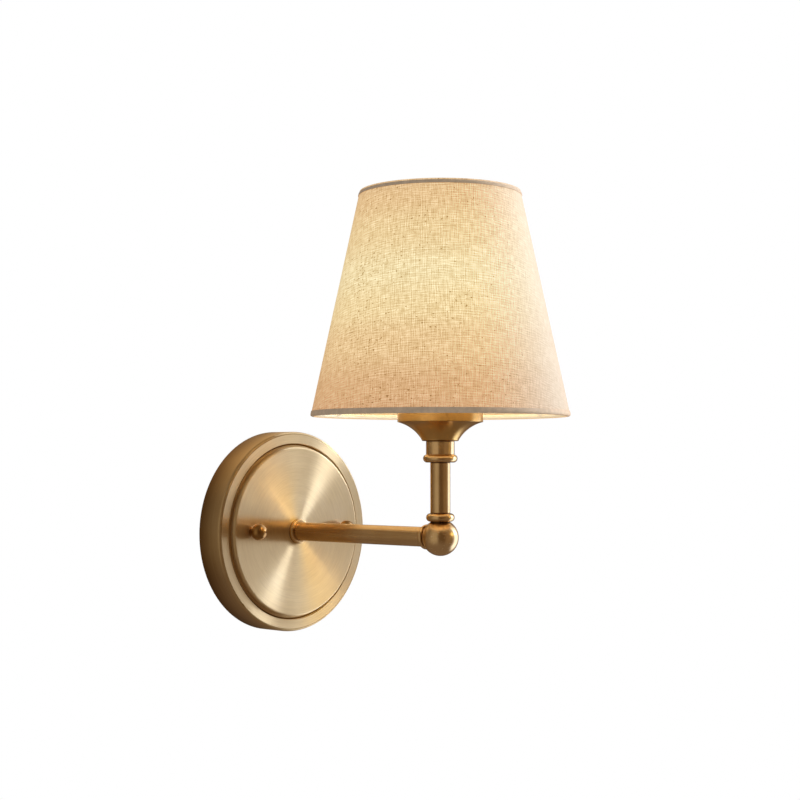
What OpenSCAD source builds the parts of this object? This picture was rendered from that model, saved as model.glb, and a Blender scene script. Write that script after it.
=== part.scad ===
// Wall sconce with a ball-elbow arm and a tapered fabric shade, in millimetres.
// The wall is the plane y = 0 and the light stands out along -Y. The origin is the middle of the
// wall plate, on the wall. The arm lies on the Y axis; stem, lampholder and shade stand at y = -reach.

/* [Wall plate] */
// Outer diameter of the wall plate
plate_d = 130; // [122:1:160]
// Diameter of the raised disc in its middle
disc_d = 110; // [96:1:116]
// Distance from the wall to the face of the disc
plate_depth = 22; // [21:0.5:32]
// How far the outer ring lies behind the disc face
ring_drop = 2.7; // [2:0.1:4]
// Width of the shadow groove between disc and ring
groove_w = 2.5; // [0.8:0.1:3]
// Depth of the groove below the ring
groove_depth = 1.3; // [0.4:0.1:1.5]
// Sheet thickness of the wall plate
plate_t = 1.2; // [0.8:0.1:1.6]
// Rounding of the plate's outer edge
plate_edge_r = 1.8; // [1.8:0.1:3.5]
// Rounding of the disc's edge
disc_edge_r = 1.4; // [0.8:0.1:1.8]

/* [Wall strap] */
// Length of the strap
strap_l = 104; // [98:1:112]
// Height of the strap
strap_h = 20; // [16:1:26]
// Thickness of the strap
strap_t = 2; // [1.5:0.1:2.5]
// Distance between the two wall-screw slots
slot_spacing = 60; // [56:0.5:61]
// Length of each wall-screw slot
slot_l = 10; // [7:0.5:12]
// Width of each wall-screw slot
slot_w = 4.5; // [4:0.1:5.5]
// Height of the tab that carries the terminal block
tab_h = 22; // [21:0.5:28]
// Width of the tab
tab_w = 22; // [18:0.5:26]

/* [Studs and cap nuts] */
// Distance between the two studs
stud_spacing = 79; // [77:0.5:84]
// Height of the studs above the arm's axis
stud_rise = 1; // [0:0.1:2]
// Diameter of a stud
stud_d = 4; // [3:0.5:4]
// Width across flats of a stud's nut
stud_nut_af = 7; // [6.5:0.5:8]
// Thickness of a stud's nut
stud_nut_t = 3.2; // [2:0.1:4]
// Diameter of a cap nut's ball
cap_ball_d = 10.4; // [8:0.1:12]
// Diameter of a cap nut's neck
cap_neck_d = 6.6; // [6:0.1:7.6]
// Distance from the disc face to the middle of the ball
cap_ball_rise = 5.6; // [5.2:0.1:7]
// How deep a stud reaches into its cap nut
stud_grip = 6; // [4:0.1:7]

/* [Ground screw] */
// Diameter of the ground screw
ground_d = 4; // [3:0.5:4.5]
// Diameter of its head
ground_head_d = 8; // [6.5:0.5:9]
// Height of its head
ground_head_h = 2.6; // [2:0.1:3]
// Distance of the screw from the middle of the strap
ground_x = 15; // [6:0.5:17]

/* [Terminal block] */
// Width of the terminal block
block_w = 17; // [16:0.5:20]
// Height of the terminal block
block_h = 16; // [14:0.5:16]
// Depth of the terminal block
block_depth = 10; // [9:0.5:11]
// Distance between its two poles
pole_pitch = 9; // [8.4:0.1:10]
// Gap between the strap's upper edge and the block
block_gap = 4; // [3:0.5:5]
// Outer diameter of a brass insert
insert_d = 4.6; // [4.4:0.1:5]
// Bore of a brass insert
insert_bore = 3; // [2.6:0.1:3.2]
// Diameter of a clamping screw
clamp_d = 2.5; // [2:0.1:2.6]
// Diameter of the screw that holds the block
block_screw_d = 2.5; // [2:0.1:2.8]

/* [Threaded tubes] */
// Outer diameter of the threaded tubes
thread_d = 10; // [9.8:0.1:10.2]
// Bore of the threaded tubes
thread_bore = 8; // [7.6:0.1:8.2]
// Width across flats of the lock nuts
lock_nut_af = 14; // [13:0.5:15]
// Thickness of the lock nuts
lock_nut_t = 3.4; // [2.5:0.1:4]
// Diameter of the washer in the wall plate
washer_d = 20; // [17:0.5:24]
// Thickness of the washer
washer_t = 1; // [0.8:0.1:1.5]
// How far the arm's threaded tube sticks out behind its nut
thread_spare = 2.4; // [2:0.1:3]
// How far a threaded tube reaches into the arm or the stem
thread_grip = 8; // [5:0.5:12]

/* [Arm] */
// Distance from the wall to the axis of the stem
reach = 145; // [120:1:200]
// Outer diameter of arm and stem
tube_d = 12; // [11.8:0.1:13]
// Wall thickness of arm and stem
tube_t = 1.5; // [1.3:0.1:1.8]
// Diameter of the collar at the arm's foot
arm_collar_d = 16; // [14:0.5:24]
// Thickness of that collar
arm_collar_t = 2.6; // [1.5:0.1:5]
// Diameter of the bead at the arm's end
arm_bead_d = 15.1; // [13.5:0.1:18]
// Width of that bead
arm_bead_w = 2.8; // [2:0.1:4]
// Diameter of the ball elbow
ball_d = 22; // [21:0.5:28]
// Length of the plain neck between the ball and a bead
bead_neck = 0.3; // [0.2:0.1:2]

/* [Stem] */
// Diameter of the lower bead
stem_bead_d = 17.1; // [15:0.1:20]
// Height of the lower bead
stem_bead_h = 5; // [3:0.1:6]
// Visible length of the stem tube
stem_l = 30.4; // [22:0.2:60]
// Diameter of the upper bead
neck_bead_d = 20.7; // [18:0.1:24]
// Height of the upper bead
neck_bead_h = 4.9; // [3:0.1:6]
// Diameter of the sleeve above it
sleeve_d = 17.1; // [15:0.1:18]
// Height of the sleeve
sleeve_h = 8; // [4:0.1:12]

/* [Gallery] */
// Diameter of the trumpet's foot
foot_d = 22.4; // [21:0.1:24]
// Diameter of the cup wall
cup_d = 51.5; // [48:0.5:56]
// Height of the trumpet
flare_h = 11.3; // [11:0.1:14]
// Radius of the trumpet's hollow curve
flare_r = 23; // [22:0.5:45]
// Height of the cup wall above the trumpet
cup_wall_h = 13; // [8:0.5:15]
// Thickness of the cup
cup_t = 1.2; // [0.8:0.1:1.5]
// Thickness of the cup's floor
cup_floor_t = 1.6; // [1.2:0.1:2]
// Rounding of the foot's lower edge
foot_edge_r = 0.8; // [0.4:0.1:1]

/* [Lampholder] */
// Diameter of the lampholder
holder_d = 28; // [27:0.1:28.4]
// Height from the lock nut to the lampholder's rim
holder_h = 48.6; // [46:0.2:60]
// Height of the holder's metal cap
holder_cap_h = 19; // [18:0.5:21]
// Wall thickness of the metal cap
holder_cap_t = 1.2; // [0.8:0.1:1.4]
// Diameter of the shoulder under the shade
shoulder_d = 34; // [32:0.5:34]
// Thickness of the shoulder
shoulder_t = 2; // [1.5:0.1:3]
// Height of the threaded collar above the shoulder
collar_h = 17; // [12:0.5:18]
// Inner diameter of the screw shell
shell_bore = 14.2; // [14.2:0.1:14.6]
// Sheet thickness of the screw shell
shell_t = 0.5; // [0.4:0.1:0.6]
// Height of the ceramic core
core_h = 12; // [9:0.5:13]
// Height of the domed centre contact
contact_h = 2.8; // [2:0.1:3.2]

/* [Shade] */
// Outer diameter of the shade at the top
shade_top_d = 98; // [90:1:140]
// Outer diameter of the shade at the bottom
shade_bottom_d = 156.5; // [140:0.5:200]
// Height of the shade
shade_h = 135.5; // [125:0.5:170]
// Height of the hub above the bottom edge
hub_rise = 22; // [16:0.1:26]
// Thickness of the fabric
fabric_t = 0.6; // [0.4:0.1:1]
// Thickness of the lining
liner_t = 0.4; // [0.3:0.1:0.6]
// Thickness of the edge binding
hem_t = 0.4; // [0.3:0.1:0.6]
// Height of the edge binding
hem_h = 3.2; // [2:0.1:6]
// Thickness of a glue line
glue_t = 0.1; // [0.05:0.01:0.15]
// Diameter of the ring wires
ring_wire_d = 2.5; // [2:0.1:3]
// Diameter of the spokes
spoke_d = 2.2; // [1.8:0.1:2.6]
// Number of spokes
spoke_n = 3; // [3:1:4]
// Direction of the first spoke
spoke_turn = -18; // [-60:1:60]
// Width of the hub ring
hub_w = 4; // [3.8:0.1:5]
// Thickness of the hub ring
hub_t = 1.6; // [1.2:0.1:2]
// Height of the ring that clamps the hub
clamp_ring_h = 6; // [4:0.5:8]
// Width of the ring that clamps the hub
clamp_ring_w = 4.4; // [3:0.1:5]
// Number of grip notches round the clamping ring
notch_n = 24; // [12:2:36]

/* [Leads] */
// Diameter of a lead over its insulation
lead_d = 2.2; // [1.8:0.1:2.3]
// Distance between the two leads
lead_pitch = 3.8; // [3:0.1:3.9]
// Diameter of a lead's bare core
lead_core_d = 1.5; // [1:0.1:1.6]
// Radius of the bend in the elbow
lead_turn_r = 4; // [3:0.1:4.5]

/* [Bulb] */
// Diameter of the bulb's glass
bulb_d = 45; // [35:0.5:50]
// Length of the bulb
bulb_l = 77; // [74:0.5:90]
// Diameter of the bulb's screw cap
bulb_cap_d = 13.6; // [13.4:0.1:13.6]
// Diameter of the cap's skirt
skirt_d = 17; // [15:0.1:18]
// Height of the cap's skirt
skirt_h = 5; // [3:0.1:7]
// Thickness of the glass
glass_t = 0.9; // [0.7:0.1:1.2]

/* [Hidden] */
$fn = 72;

// Overrun of a cutting shape past the surface that it cuts
cut = 1;
// Radial clearance of a screwed joint
thread_play = 0.05;
// Radial clearance of a screw in a plain hole
hole_play = 0.2;
// Radial clearance of sheet parts pushed into each other
slip_play = 0.1;
// Gap between the bulb and the lampholder
bulb_play = 0.3;
// Overlap that joins two shapes of one solid
weld = 0.01;

plate_r = plate_d / 2;
disc_r = disc_d / 2;
thread_r = thread_d / 2;
tube_r = tube_d / 2;
ball_r = ball_d / 2;
ring_face = plate_depth - ring_drop;
stud_x = stud_spacing / 2;
stud_l = plate_depth + stud_grip;

// Distances from the wall of what is stacked behind the disc
disc_back = plate_depth - plate_t;
lock_nut_back = disc_back - washer_t - lock_nut_t;
arm_thread_back = lock_nut_back - thread_spare;
bushing_lip_t = 1.2;
bushing_back = arm_thread_back - bushing_lip_t;
bushing_sleeve_l = 5;
bushing_sleeve_t = 0.6;
bushing_lip_w = 1.4;

// The terminal block on its tab
block_z0 = strap_h / 2 + block_gap;
block_mid_y = strap_t + block_depth / 2;
block_mid_z = block_z0 + block_h / 2;
block_wall = 1;
block_head_d = 2 * block_screw_d;
block_head_h = 1.5;
block_head_y = strap_t + block_depth - block_head_h - hole_play;

// Clamping screws, with the driver slot in their ends
clamp_l = 3;
driver_slot_w = 0.6;
driver_slot_depth = 0.8;

// The leads: they bend up behind the arm, just short of the bushing's mouth
lead_mouth_gap = 0.4;
rear_turn_r = bushing_back - block_mid_y - lead_mouth_gap;
lead_x = lead_pitch / 2;
strip_l = 7;
strip_step = 0.05;
fan_l = 1;
lead_sides = 12;
bend_steps = 8;

// Heights above the arm's axis, from the ball up
ball_flat = sqrt(ball_r * ball_r - tube_r * tube_r);
thread_start = thread_r + hole_play;
bead_z = ball_flat + bead_neck;
stem_z = bead_z + stem_bead_h;
neck_z = stem_z + stem_l;
sleeve_z = neck_z + neck_bead_h;
foot_z = sleeve_z + sleeve_h;
flare_z = foot_z + flare_h;
cup_z = flare_z + cup_wall_h;
gallery_nut_z = foot_z + cup_floor_t;
holder_z = gallery_nut_z + lock_nut_t;
holder_rim_z = holder_z + holder_h;
arm_end = reach - ball_flat - bead_neck - arm_bead_w;

// The trumpet's hollow curve: its circle passes through the foot's and the cup's edges
cup_lip = 0.4;
flare_lo = [foot_d / 2, foot_z + foot_edge_r];
flare_hi = [cup_d / 2 - cup_lip, flare_z];
flare_chord = norm(flare_hi - flare_lo);
flare_mid = (flare_lo + flare_hi) / 2;
flare_out = [flare_hi[1] - flare_lo[1], flare_lo[0] - flare_hi[0]] / flare_chord;
flare_c = flare_mid + flare_out * sqrt(flare_r * flare_r - flare_chord * flare_chord / 4);

// The lampholder's levels
holder_r = holder_d / 2;
holder_neck_r = thread_r + 2;
holder_neck_h = 2.2;
holder_slope_h = 4.6;
body_skirt_h = 7;
body_wall = 1.7;
core_inset = 0.6;
shell_inset = 2;
shell_floor_w = 1.6;
contact_r = 2.6;
contact_tip_r = 1.4;
contact_dome_h = 1.2;
nipple_rise = 1.4;
cap_top_z = holder_z + holder_cap_h;
body_foot_z = cap_top_z - body_skirt_h;
body_in_cap_r = holder_r - holder_cap_t - slip_play;
hub_z = holder_rim_z - collar_h;
shoulder_z = hub_z - shoulder_t;
shell_r = shell_bore / 2;
core_z = body_foot_z + core_inset;
core_top_z = core_z + core_h;
core_r = body_in_cap_r - body_wall - slip_play;
shell_top_z = holder_rim_z - shell_inset;
thread_top_z = holder_z + holder_neck_h + nipple_rise;

// Where the leads end in the core: distance of a post from the axis, and depths above its foot
terminal_x = 7.5;
post_gap = 0.4;
post_straight_l = 1.2;
lead_hole_h = 0.75 * core_h;
bare_end_h = 0.65 * core_h;

// The shade's levels, and its radius at height z, depth d into its wall
shade_z0 = hub_z - hub_rise;
shade_z1 = shade_z0 + shade_h;
shade_slope = (shade_bottom_d - shade_top_d) / 2 / shade_h;
wall_factor = sqrt(1 + shade_slope * shade_slope);
function shade_r(z, d = 0) =
    shade_bottom_d / 2 - (z - shade_z0) * shade_slope - d * wall_factor;
fabric_out = hem_t + glue_t;
fabric_in = fabric_out + fabric_t;
liner_out = fabric_in + glue_t;
liner_in = liner_out + liner_t;
ring_wire_r = ring_wire_d / 2;
ring_depth = liner_in + glue_t + ring_wire_r;
low_ring_z = shade_z0 + hem_t + glue_t + ring_wire_r;
top_ring_z = shade_z1 - hem_t - glue_t - ring_wire_r;
hub_r = holder_r + hole_play;
spoke_flat_l = 4;
spoke_knee = hub_r + hub_w + spoke_flat_l;
knee_swell = 0.4;
notch_d = 1.2;

// The bulb's levels, and the sizes of its cap and of what stands inside its glass
tip_h = 1.2;
tip_r = 1.6;
tip_top_r = 2.4;
insulator_h = 2.6;
insulator_r = 4;
cap_t = 0.4;
skirt_t = 0.3;
skirt_floor_t = 0.5;
glass_inset = 1;
tip_z = core_top_z + contact_h + bulb_play;
screw_z = tip_z + tip_h + insulator_h;
skirt_z = holder_rim_z + bulb_play;
bulb_r = bulb_d / 2;
glass_z = tip_z + bulb_l - bulb_r;
glass_neck_r = skirt_d / 2 - glass_t - slip_play;
glass_foot_z = skirt_z + glass_inset;
filament_r = 4;
filament_d = 1.2;
filament_l = 24;
filament_z = glass_z - filament_l / 2;
lamp_foot_h = 1.2;
lamp_stem_r = 2;
lamp_rod_r = 1;
lamp_plate_t = 1;

// Palette
brass = [0.62, 0.48, 0.32];
bright_brass = [0.80, 0.65, 0.38];
zinc = [0.72, 0.73, 0.74];
phenolic = [0.10, 0.09, 0.08];
nylon = [0.90, 0.89, 0.85];
linen = [0.93, 0.84, 0.68];

// Points of an arc of n steps round the centre c, from angle a0 to a1
function arc(c, r, a0, a1, n) = [for (i = [0:n])
    let (a = a0 + (a1 - a0) * i / n) c + r * [cos(a), sin(a)]];

// Turns a shape drawn upwards so that up becomes away from the wall
module from_wall() {
    rotate([90, 0, 0]) children();
}

// Moves a shape to the axis of the stem
module at_stem() {
    translate([0, -reach, 0]) children();
}

// A plain ring or tube from height z0 to z1
module tube(r_out, r_in, z0, z1) {
    difference() {
        translate([0, 0, z0]) cylinder(r = r_out, h = z1 - z0);
        translate([0, 0, z0 - cut]) cylinder(r = r_in, h = z1 - z0 + 2 * cut);
    }
}

// A cone shell of the shade, between two depths in its wall
module shade_shell(d_out, d_in, z0, z1) {
    difference() {
        translate([0, 0, z0])
            cylinder(r1 = shade_r(z0, d_out), r2 = shade_r(z1, d_out), h = z1 - z0);
        translate([0, 0, z0 - cut])
            cylinder(r1 = shade_r(z0 - cut, d_in), r2 = shade_r(z1 + cut, d_in),
                h = z1 - z0 + 2 * cut);
    }
}

// A ring of round wire in the shade
module wire_ring(z) {
    translate([0, 0, z]) rotate_extrude()
        translate([shade_r(z, ring_depth), 0]) circle(d = ring_wire_d);
}

// A turned ring whose outside is a half-round bead over a plain neck
module bead_ring(bead_d, bead_h, neck_h, neck_r, bore_r) {
    bulge = bead_d / 2 - neck_r;
    rotate_extrude() difference() {
        union() {
            square([neck_r, neck_h + bead_h]);
            intersection() {
                translate([neck_r - bead_h, neck_h]) square([bead_h + bulge + cut, bead_h]);
                translate([neck_r + bulge - bead_h / 2, neck_h + bead_h / 2]) circle(d = bead_h);
            }
            translate([0, neck_h]) square([bead_d / 2 - bead_h / 2, bead_h]);
        }
        translate([-cut, -cut]) square([bore_r + cut, neck_h + bead_h + 2 * cut]);
    }
}

// The driver slot in the end of a small screw of diameter d, whose end is at height top
module driver_slot(d, top) {
    translate([-d, -driver_slot_w / 2, top - driver_slot_depth])
        cube([2 * d, driver_slot_w, driver_slot_depth + cut]);
}

// A hexagon nut, standing on height z0
module hex_nut(af, bore_r, z0, h) {
    difference() {
        translate([0, 0, z0]) cylinder(d = af / cos(30), h = h, $fn = 6);
        translate([0, 0, z0 - cut]) cylinder(r = bore_r, h = h + 2 * cut);
    }
}

// A screw with a slotted pan head; the head stands on height z0
module slotted_screw(shank_d, shank_l, head_d, head_h, z0) {
    slot_wide = shank_d / 4;
    difference() {
        union() {
            translate([0, 0, z0 - shank_l]) cylinder(d = shank_d, h = shank_l + cut / 2);
            translate([0, 0, z0]) cylinder(d = head_d, h = head_h);
        }
        translate([-head_d, -slot_wide / 2, z0 + head_h / 2])
            cube([2 * head_d, slot_wide, head_h]);
    }
}

// The steel strap on the wall, with its tab for the terminal block
module crossbar() {
    color(zinc) from_wall() difference() {
        union() {
            translate([-strap_l / 2, -strap_h / 2, 0]) cube([strap_l, strap_h, strap_t]);
            translate([-tab_w / 2, 0, 0]) cube([tab_w, strap_h / 2 + tab_h, strap_t]);
        }
        for (side = [-1, 1]) {
            translate([side * slot_spacing / 2, 0, -cut]) {
                travel = slot_l - slot_w;
                for (end = [-1, 1])
                    translate([end * travel / 2, 0, 0])
                        cylinder(d = slot_w, h = strap_t + 2 * cut);
                translate([-travel / 2, -slot_w / 2, 0])
                    cube([travel, slot_w, strap_t + 2 * cut]);
            }
            translate([side * stud_x, stud_rise, -cut])
                cylinder(r = stud_d / 2 + thread_play, h = strap_t + 2 * cut);
        }
        translate([-ground_x, 0, -cut])
            cylinder(r = ground_d / 2 + thread_play, h = strap_t + 2 * cut);
        translate([0, block_mid_z, -cut])
            cylinder(r = block_screw_d / 2 + thread_play, h = strap_t + 2 * cut);
    }
}

// Two studs, screwed through the strap from behind
module mounting_studs() {
    color(zinc) from_wall() for (side = [-1, 1])
        translate([side * stud_x, stud_rise, 0]) cylinder(d = stud_d, h = stud_l);
}

// The nuts that lock the studs on the strap
module stud_nuts() {
    color(zinc) from_wall() for (side = [-1, 1])
        translate([side * stud_x, stud_rise, 0])
            hex_nut(stud_nut_af, stud_d / 2 + thread_play, strap_t, stud_nut_t);
}

// The green screw for the earth wire
module ground_screw() {
    color([0.15, 0.45, 0.20]) from_wall() translate([-ground_x, 0, 0])
        slotted_screw(ground_d, strap_t, ground_head_d, ground_head_h, strap_t);
}

// The two-pole terminal block
module terminal_block() {
    color(nylon) from_wall() difference() {
        translate([-block_w / 2, block_z0, strap_t]) cube([block_w, block_h, block_depth]);
        for (side = [-1, 1]) {
            translate([side * pole_pitch / 2, block_z0 - cut, block_mid_y]) rotate([-90, 0, 0])
                cylinder(r = insert_d / 2 + thread_play, h = block_h + 2 * cut);
            for (end = [-1, 1])
                translate([side * pole_pitch / 2, block_mid_z + end * block_h / 4, block_mid_y])
                    cylinder(r = clamp_d / 2 + hole_play, h = block_depth);
        }
        translate([0, block_mid_z, 0]) {
            cylinder(r = block_screw_d / 2 + hole_play, h = strap_t + block_depth + cut);
            translate([0, 0, block_head_y])
                cylinder(r = block_head_d / 2 + hole_play, h = block_depth);
        }
    }
}

// The brass tubes of the terminal block
module terminal_inserts() {
    color(bright_brass) from_wall() for (side = [-1, 1])
        translate([side * pole_pitch / 2, block_z0, block_mid_y]) difference() {
            rotate([-90, 0, 0]) translate([0, 0, block_wall])
                cylinder(d = insert_d, h = block_h - 2 * block_wall);
            rotate([-90, 0, 0]) cylinder(d = insert_bore, h = block_h);
            for (end = [-1, 1])
                translate([0, block_h / 2 + end * block_h / 4, 0])
                    cylinder(r = clamp_d / 2 + thread_play, h = insert_d);
        }
}

// The four clamping screws of the terminal block
module terminal_screws() {
    color(zinc) from_wall() for (side = [-1, 1], end = [-1, 1])
        translate([side * pole_pitch / 2, block_mid_z + end * block_h / 4,
            block_mid_y + lead_core_d / 2 + hole_play])
            difference() {
                cylinder(d = clamp_d, h = clamp_l);
                driver_slot(clamp_d, clamp_l);
            }
}

// The screw that holds the terminal block on the tab
module block_screw() {
    color(zinc) from_wall() translate([0, block_mid_z, 0])
        slotted_screw(block_screw_d, block_head_y, block_head_d, block_head_h, block_head_y);
}

// The outline of the wall plate, drawn as radius and distance from the wall
module plate_outline() {
    groove_floor = ring_face - groove_depth;
    difference() {
        union() {
            square([plate_r, ring_face - plate_edge_r]);
            square([plate_r - plate_edge_r, ring_face]);
            translate([plate_r - plate_edge_r, ring_face - plate_edge_r]) circle(r = plate_edge_r);
            square([disc_r, plate_depth - disc_edge_r]);
            square([disc_r - disc_edge_r, plate_depth]);
            translate([disc_r - disc_edge_r, plate_depth - disc_edge_r]) circle(r = disc_edge_r);
        }
        translate([disc_r, groove_floor]) square([groove_w, groove_depth + cut]);
        translate([-plate_r, -plate_r]) square([2 * plate_r, plate_r]);
        translate([-plate_r, -cut]) square([plate_r, plate_r]);
    }
}

// The hollow of the wall plate, one sheet thickness inside the outline
module plate_hollow() {
    inner_edge_r = plate_edge_r - plate_t;
    inner_ring = ring_face - plate_t;
    inner_groove = inner_ring - groove_depth;
    difference() {
        union() {
            translate([0, -cut]) square([plate_r - plate_t, inner_ring - inner_edge_r + cut]);
            square([plate_r - plate_edge_r, inner_ring]);
            translate([plate_r - plate_edge_r, inner_ring - inner_edge_r])
                circle(r = inner_edge_r);
            square([disc_r - plate_t, disc_back]);
        }
        translate([disc_r - plate_t, inner_groove])
            square([groove_w + 2 * plate_t, groove_depth + cut]);
        translate([-plate_r, -cut]) square([plate_r, plate_r]);
    }
}

// The wall plate: one spun pan, open at the back
module canopy() {
    color(brass) from_wall() difference() {
        rotate_extrude() difference() {
            plate_outline();
            plate_hollow();
        }
        translate([0, 0, disc_back - cut])
            cylinder(r = thread_r + hole_play, h = plate_t + 2 * cut);
        for (side = [-1, 1])
            translate([side * stud_x, stud_rise, disc_back - cut])
                cylinder(r = stud_d / 2 + hole_play, h = plate_t + 2 * cut);
    }
}

// A ball nut with a narrow neck and a blind thread
module cap_nut(side) {
    color(brass) from_wall() translate([side * stud_x, stud_rise, plate_depth]) difference() {
        union() {
            cylinder(d = cap_neck_d, h = cap_ball_rise);
            translate([0, 0, cap_ball_rise]) sphere(d = cap_ball_d);
        }
        translate([0, 0, -cut])
            cylinder(r = stud_d / 2 + thread_play, h = stud_grip + 2 * hole_play + cut);
    }
}

// The ring round the arm's foot
module arm_collar() {
    edge = min(0.8, arm_collar_t / 3);
    color(brass) from_wall() translate([0, 0, plate_depth]) rotate_extrude() difference() {
        union() {
            square([arm_collar_d / 2, arm_collar_t - edge]);
            square([arm_collar_d / 2 - edge, arm_collar_t]);
            translate([arm_collar_d / 2 - edge, arm_collar_t - edge]) circle(r = edge);
        }
        translate([-cut, -cut]) square([tube_r + thread_play + cut, arm_collar_t + 2 * cut]);
    }
}

// The threaded tube that holds the arm on the wall plate
module arm_nipple() {
    color(zinc) from_wall()
        tube(thread_r - thread_play, thread_bore / 2, arm_thread_back, plate_depth + thread_grip);
}

// The washer behind the disc
module canopy_washer() {
    color(zinc) from_wall()
        tube(washer_d / 2, thread_r + hole_play, disc_back - washer_t, disc_back);
}

// The lock nut behind the washer
module canopy_nut() {
    color(zinc) from_wall() hex_nut(lock_nut_af, thread_r, lock_nut_back, lock_nut_t);
}

// The plastic mouth that keeps the leads off the threaded tube's edge
module wire_bushing() {
    sleeve_r = thread_bore / 2 - thread_play;
    color(phenolic) from_wall() {
        tube(sleeve_r, sleeve_r - bushing_sleeve_t, bushing_back,
            arm_thread_back + bushing_sleeve_l);
        tube(sleeve_r + bushing_lip_w, sleeve_r - bushing_sleeve_t, bushing_back,
            arm_thread_back);
    }
}

// A tube of arm or stem, with its bore widened for a thread at each end
module threaded_tube(z0, z1) {
    difference() {
        tube(tube_r, tube_r - tube_t, z0, z1);
        translate([0, 0, z0 - cut]) cylinder(r = thread_r, h = thread_grip + 1 + cut);
        translate([0, 0, z1 - thread_grip - 1]) cylinder(r = thread_r, h = thread_grip + 1 + cut);
    }
}

module arm_tube() {
    color(brass) from_wall() threaded_tube(plate_depth, arm_end);
}

// The turned ring between arm and ball
module arm_end_bead() {
    color(brass) from_wall() translate([0, 0, reach - ball_flat]) mirror([0, 0, 1])
        bead_ring(arm_bead_d, arm_bead_w, bead_neck, tube_r, thread_r);
}

// A threaded tube that starts in the ball and reaches through a bead into a tube
module elbow_nipple(bead_l) {
    tube(thread_r - thread_play, thread_bore / 2, thread_start,
        ball_flat + bead_neck + bead_l + thread_grip);
}

module elbow_nipple_arm() {
    color(zinc) from_wall() translate([0, 0, reach]) mirror([0, 0, 1]) elbow_nipple(arm_bead_w);
}

module elbow_nipple_stem() {
    color(zinc) at_stem() elbow_nipple(stem_bead_h);
}

// One arm of the ball's inside: a thread with a flat seat, and the leads' passage
module ball_bore() {
    cylinder(r = thread_bore / 2, h = ball_r + cut);
    translate([0, 0, thread_start - thread_play]) cylinder(r = thread_r, h = ball_r);
    translate([0, 0, ball_flat]) cylinder(r = ball_r, h = ball_r);
}

// The ball elbow, drilled towards the arm and towards the stem
module elbow_ball() {
    color(brass) at_stem() difference() {
        sphere(r = ball_r);
        ball_bore();
        rotate([-90, 0, 0]) ball_bore();
        sphere(d = thread_bore);
    }
}

// The turned ring between ball and stem
module stem_bead() {
    color(brass) at_stem() translate([0, 0, ball_flat])
        bead_ring(stem_bead_d, stem_bead_h, bead_neck, tube_r, thread_r);
}

module stem_tube() {
    color(brass) at_stem() threaded_tube(stem_z, neck_z);
}

// The upper bead and its sleeve, turned from one bar
module neck_coupling() {
    color(brass) at_stem() translate([0, 0, neck_z]) {
        bead_ring(neck_bead_d, neck_bead_h, 0, tube_r, thread_r);
        tube(sleeve_d / 2, thread_r, neck_bead_h - weld, neck_bead_h + sleeve_h);
    }
}

// The threaded tube from the stem through coupling and cup into the lampholder
module socket_nipple() {
    color(zinc) at_stem()
        tube(thread_r - thread_play, thread_bore / 2, neck_z - thread_grip, thread_top_z);
}

// The gallery: a trumpet that opens into an upright cup round the lampholder
module gallery() {
    foot_r = foot_d / 2;
    cup_r = cup_d / 2;
    floor_z = foot_z + cup_floor_t;
    hollow_r = flare_r + cup_t;
    wall_a = acos((cup_r - cup_t - flare_c[0]) / hollow_r);
    floor_a = 180 - asin((floor_z - flare_c[1]) / hollow_r);
    lo = flare_lo - flare_c;
    hi = flare_hi - flare_c;
    color(brass) at_stem() rotate_extrude() polygon(concat(
        [[thread_r, foot_z]],
        arc([foot_r - foot_edge_r, foot_z + foot_edge_r], foot_edge_r, -90, 0, 4),
        arc(flare_c, flare_r, atan2(lo[1], lo[0]), atan2(hi[1], hi[0]), 16),
        arc([cup_r - cup_lip, flare_z + cup_lip], cup_lip, -60, 0, 3),
        [[cup_r, cup_z], [cup_r - cup_t, cup_z]],
        arc(flare_c, hollow_r, wall_a, floor_a, 16),
        [[thread_r, floor_z]]));
}

// The nut that clamps the gallery on the coupling
module gallery_nut() {
    color(zinc) at_stem() hex_nut(lock_nut_af, thread_r, gallery_nut_z, lock_nut_t);
}

// The metal foot of the lampholder
module socket_cap() {
    slope_z = holder_neck_h + holder_slope_h;
    color(phenolic) at_stem() translate([0, 0, holder_z]) difference() {
        rotate_extrude() polygon([[0, 0], [holder_neck_r, 0], [holder_neck_r, holder_neck_h],
            [holder_r, slope_z], [holder_r, holder_cap_h], [0, holder_cap_h]]);
        rotate_extrude() polygon([[0, holder_neck_h], [holder_neck_r - holder_cap_t, holder_neck_h],
            [holder_r - holder_cap_t, slope_z + holder_cap_t / 2],
            [holder_r - holder_cap_t, holder_cap_h + cut], [0, holder_cap_h + cut]]);
        translate([0, 0, -cut]) cylinder(r = thread_r, h = holder_neck_h + 2 * cut);
    }
}

// The lampholder's body: skirt, shoulder for the shade's hub and threaded collar
module socket_body() {
    color(phenolic) at_stem() difference() {
        union() {
            translate([0, 0, body_foot_z])
                cylinder(r = body_in_cap_r, h = cap_top_z - body_foot_z + weld);
            translate([0, 0, cap_top_z]) cylinder(r = holder_r, h = holder_rim_z - cap_top_z);
            translate([0, 0, shoulder_z]) cylinder(d = shoulder_d, h = shoulder_t);
        }
        translate([0, 0, body_foot_z - cut])
            cylinder(r = core_r + slip_play, h = core_top_z - body_foot_z + cut);
        translate([0, 0, core_top_z - cut])
            cylinder(r = shell_r + shell_t + slip_play, h = holder_rim_z - core_top_z + 2 * cut);
    }
}

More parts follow.
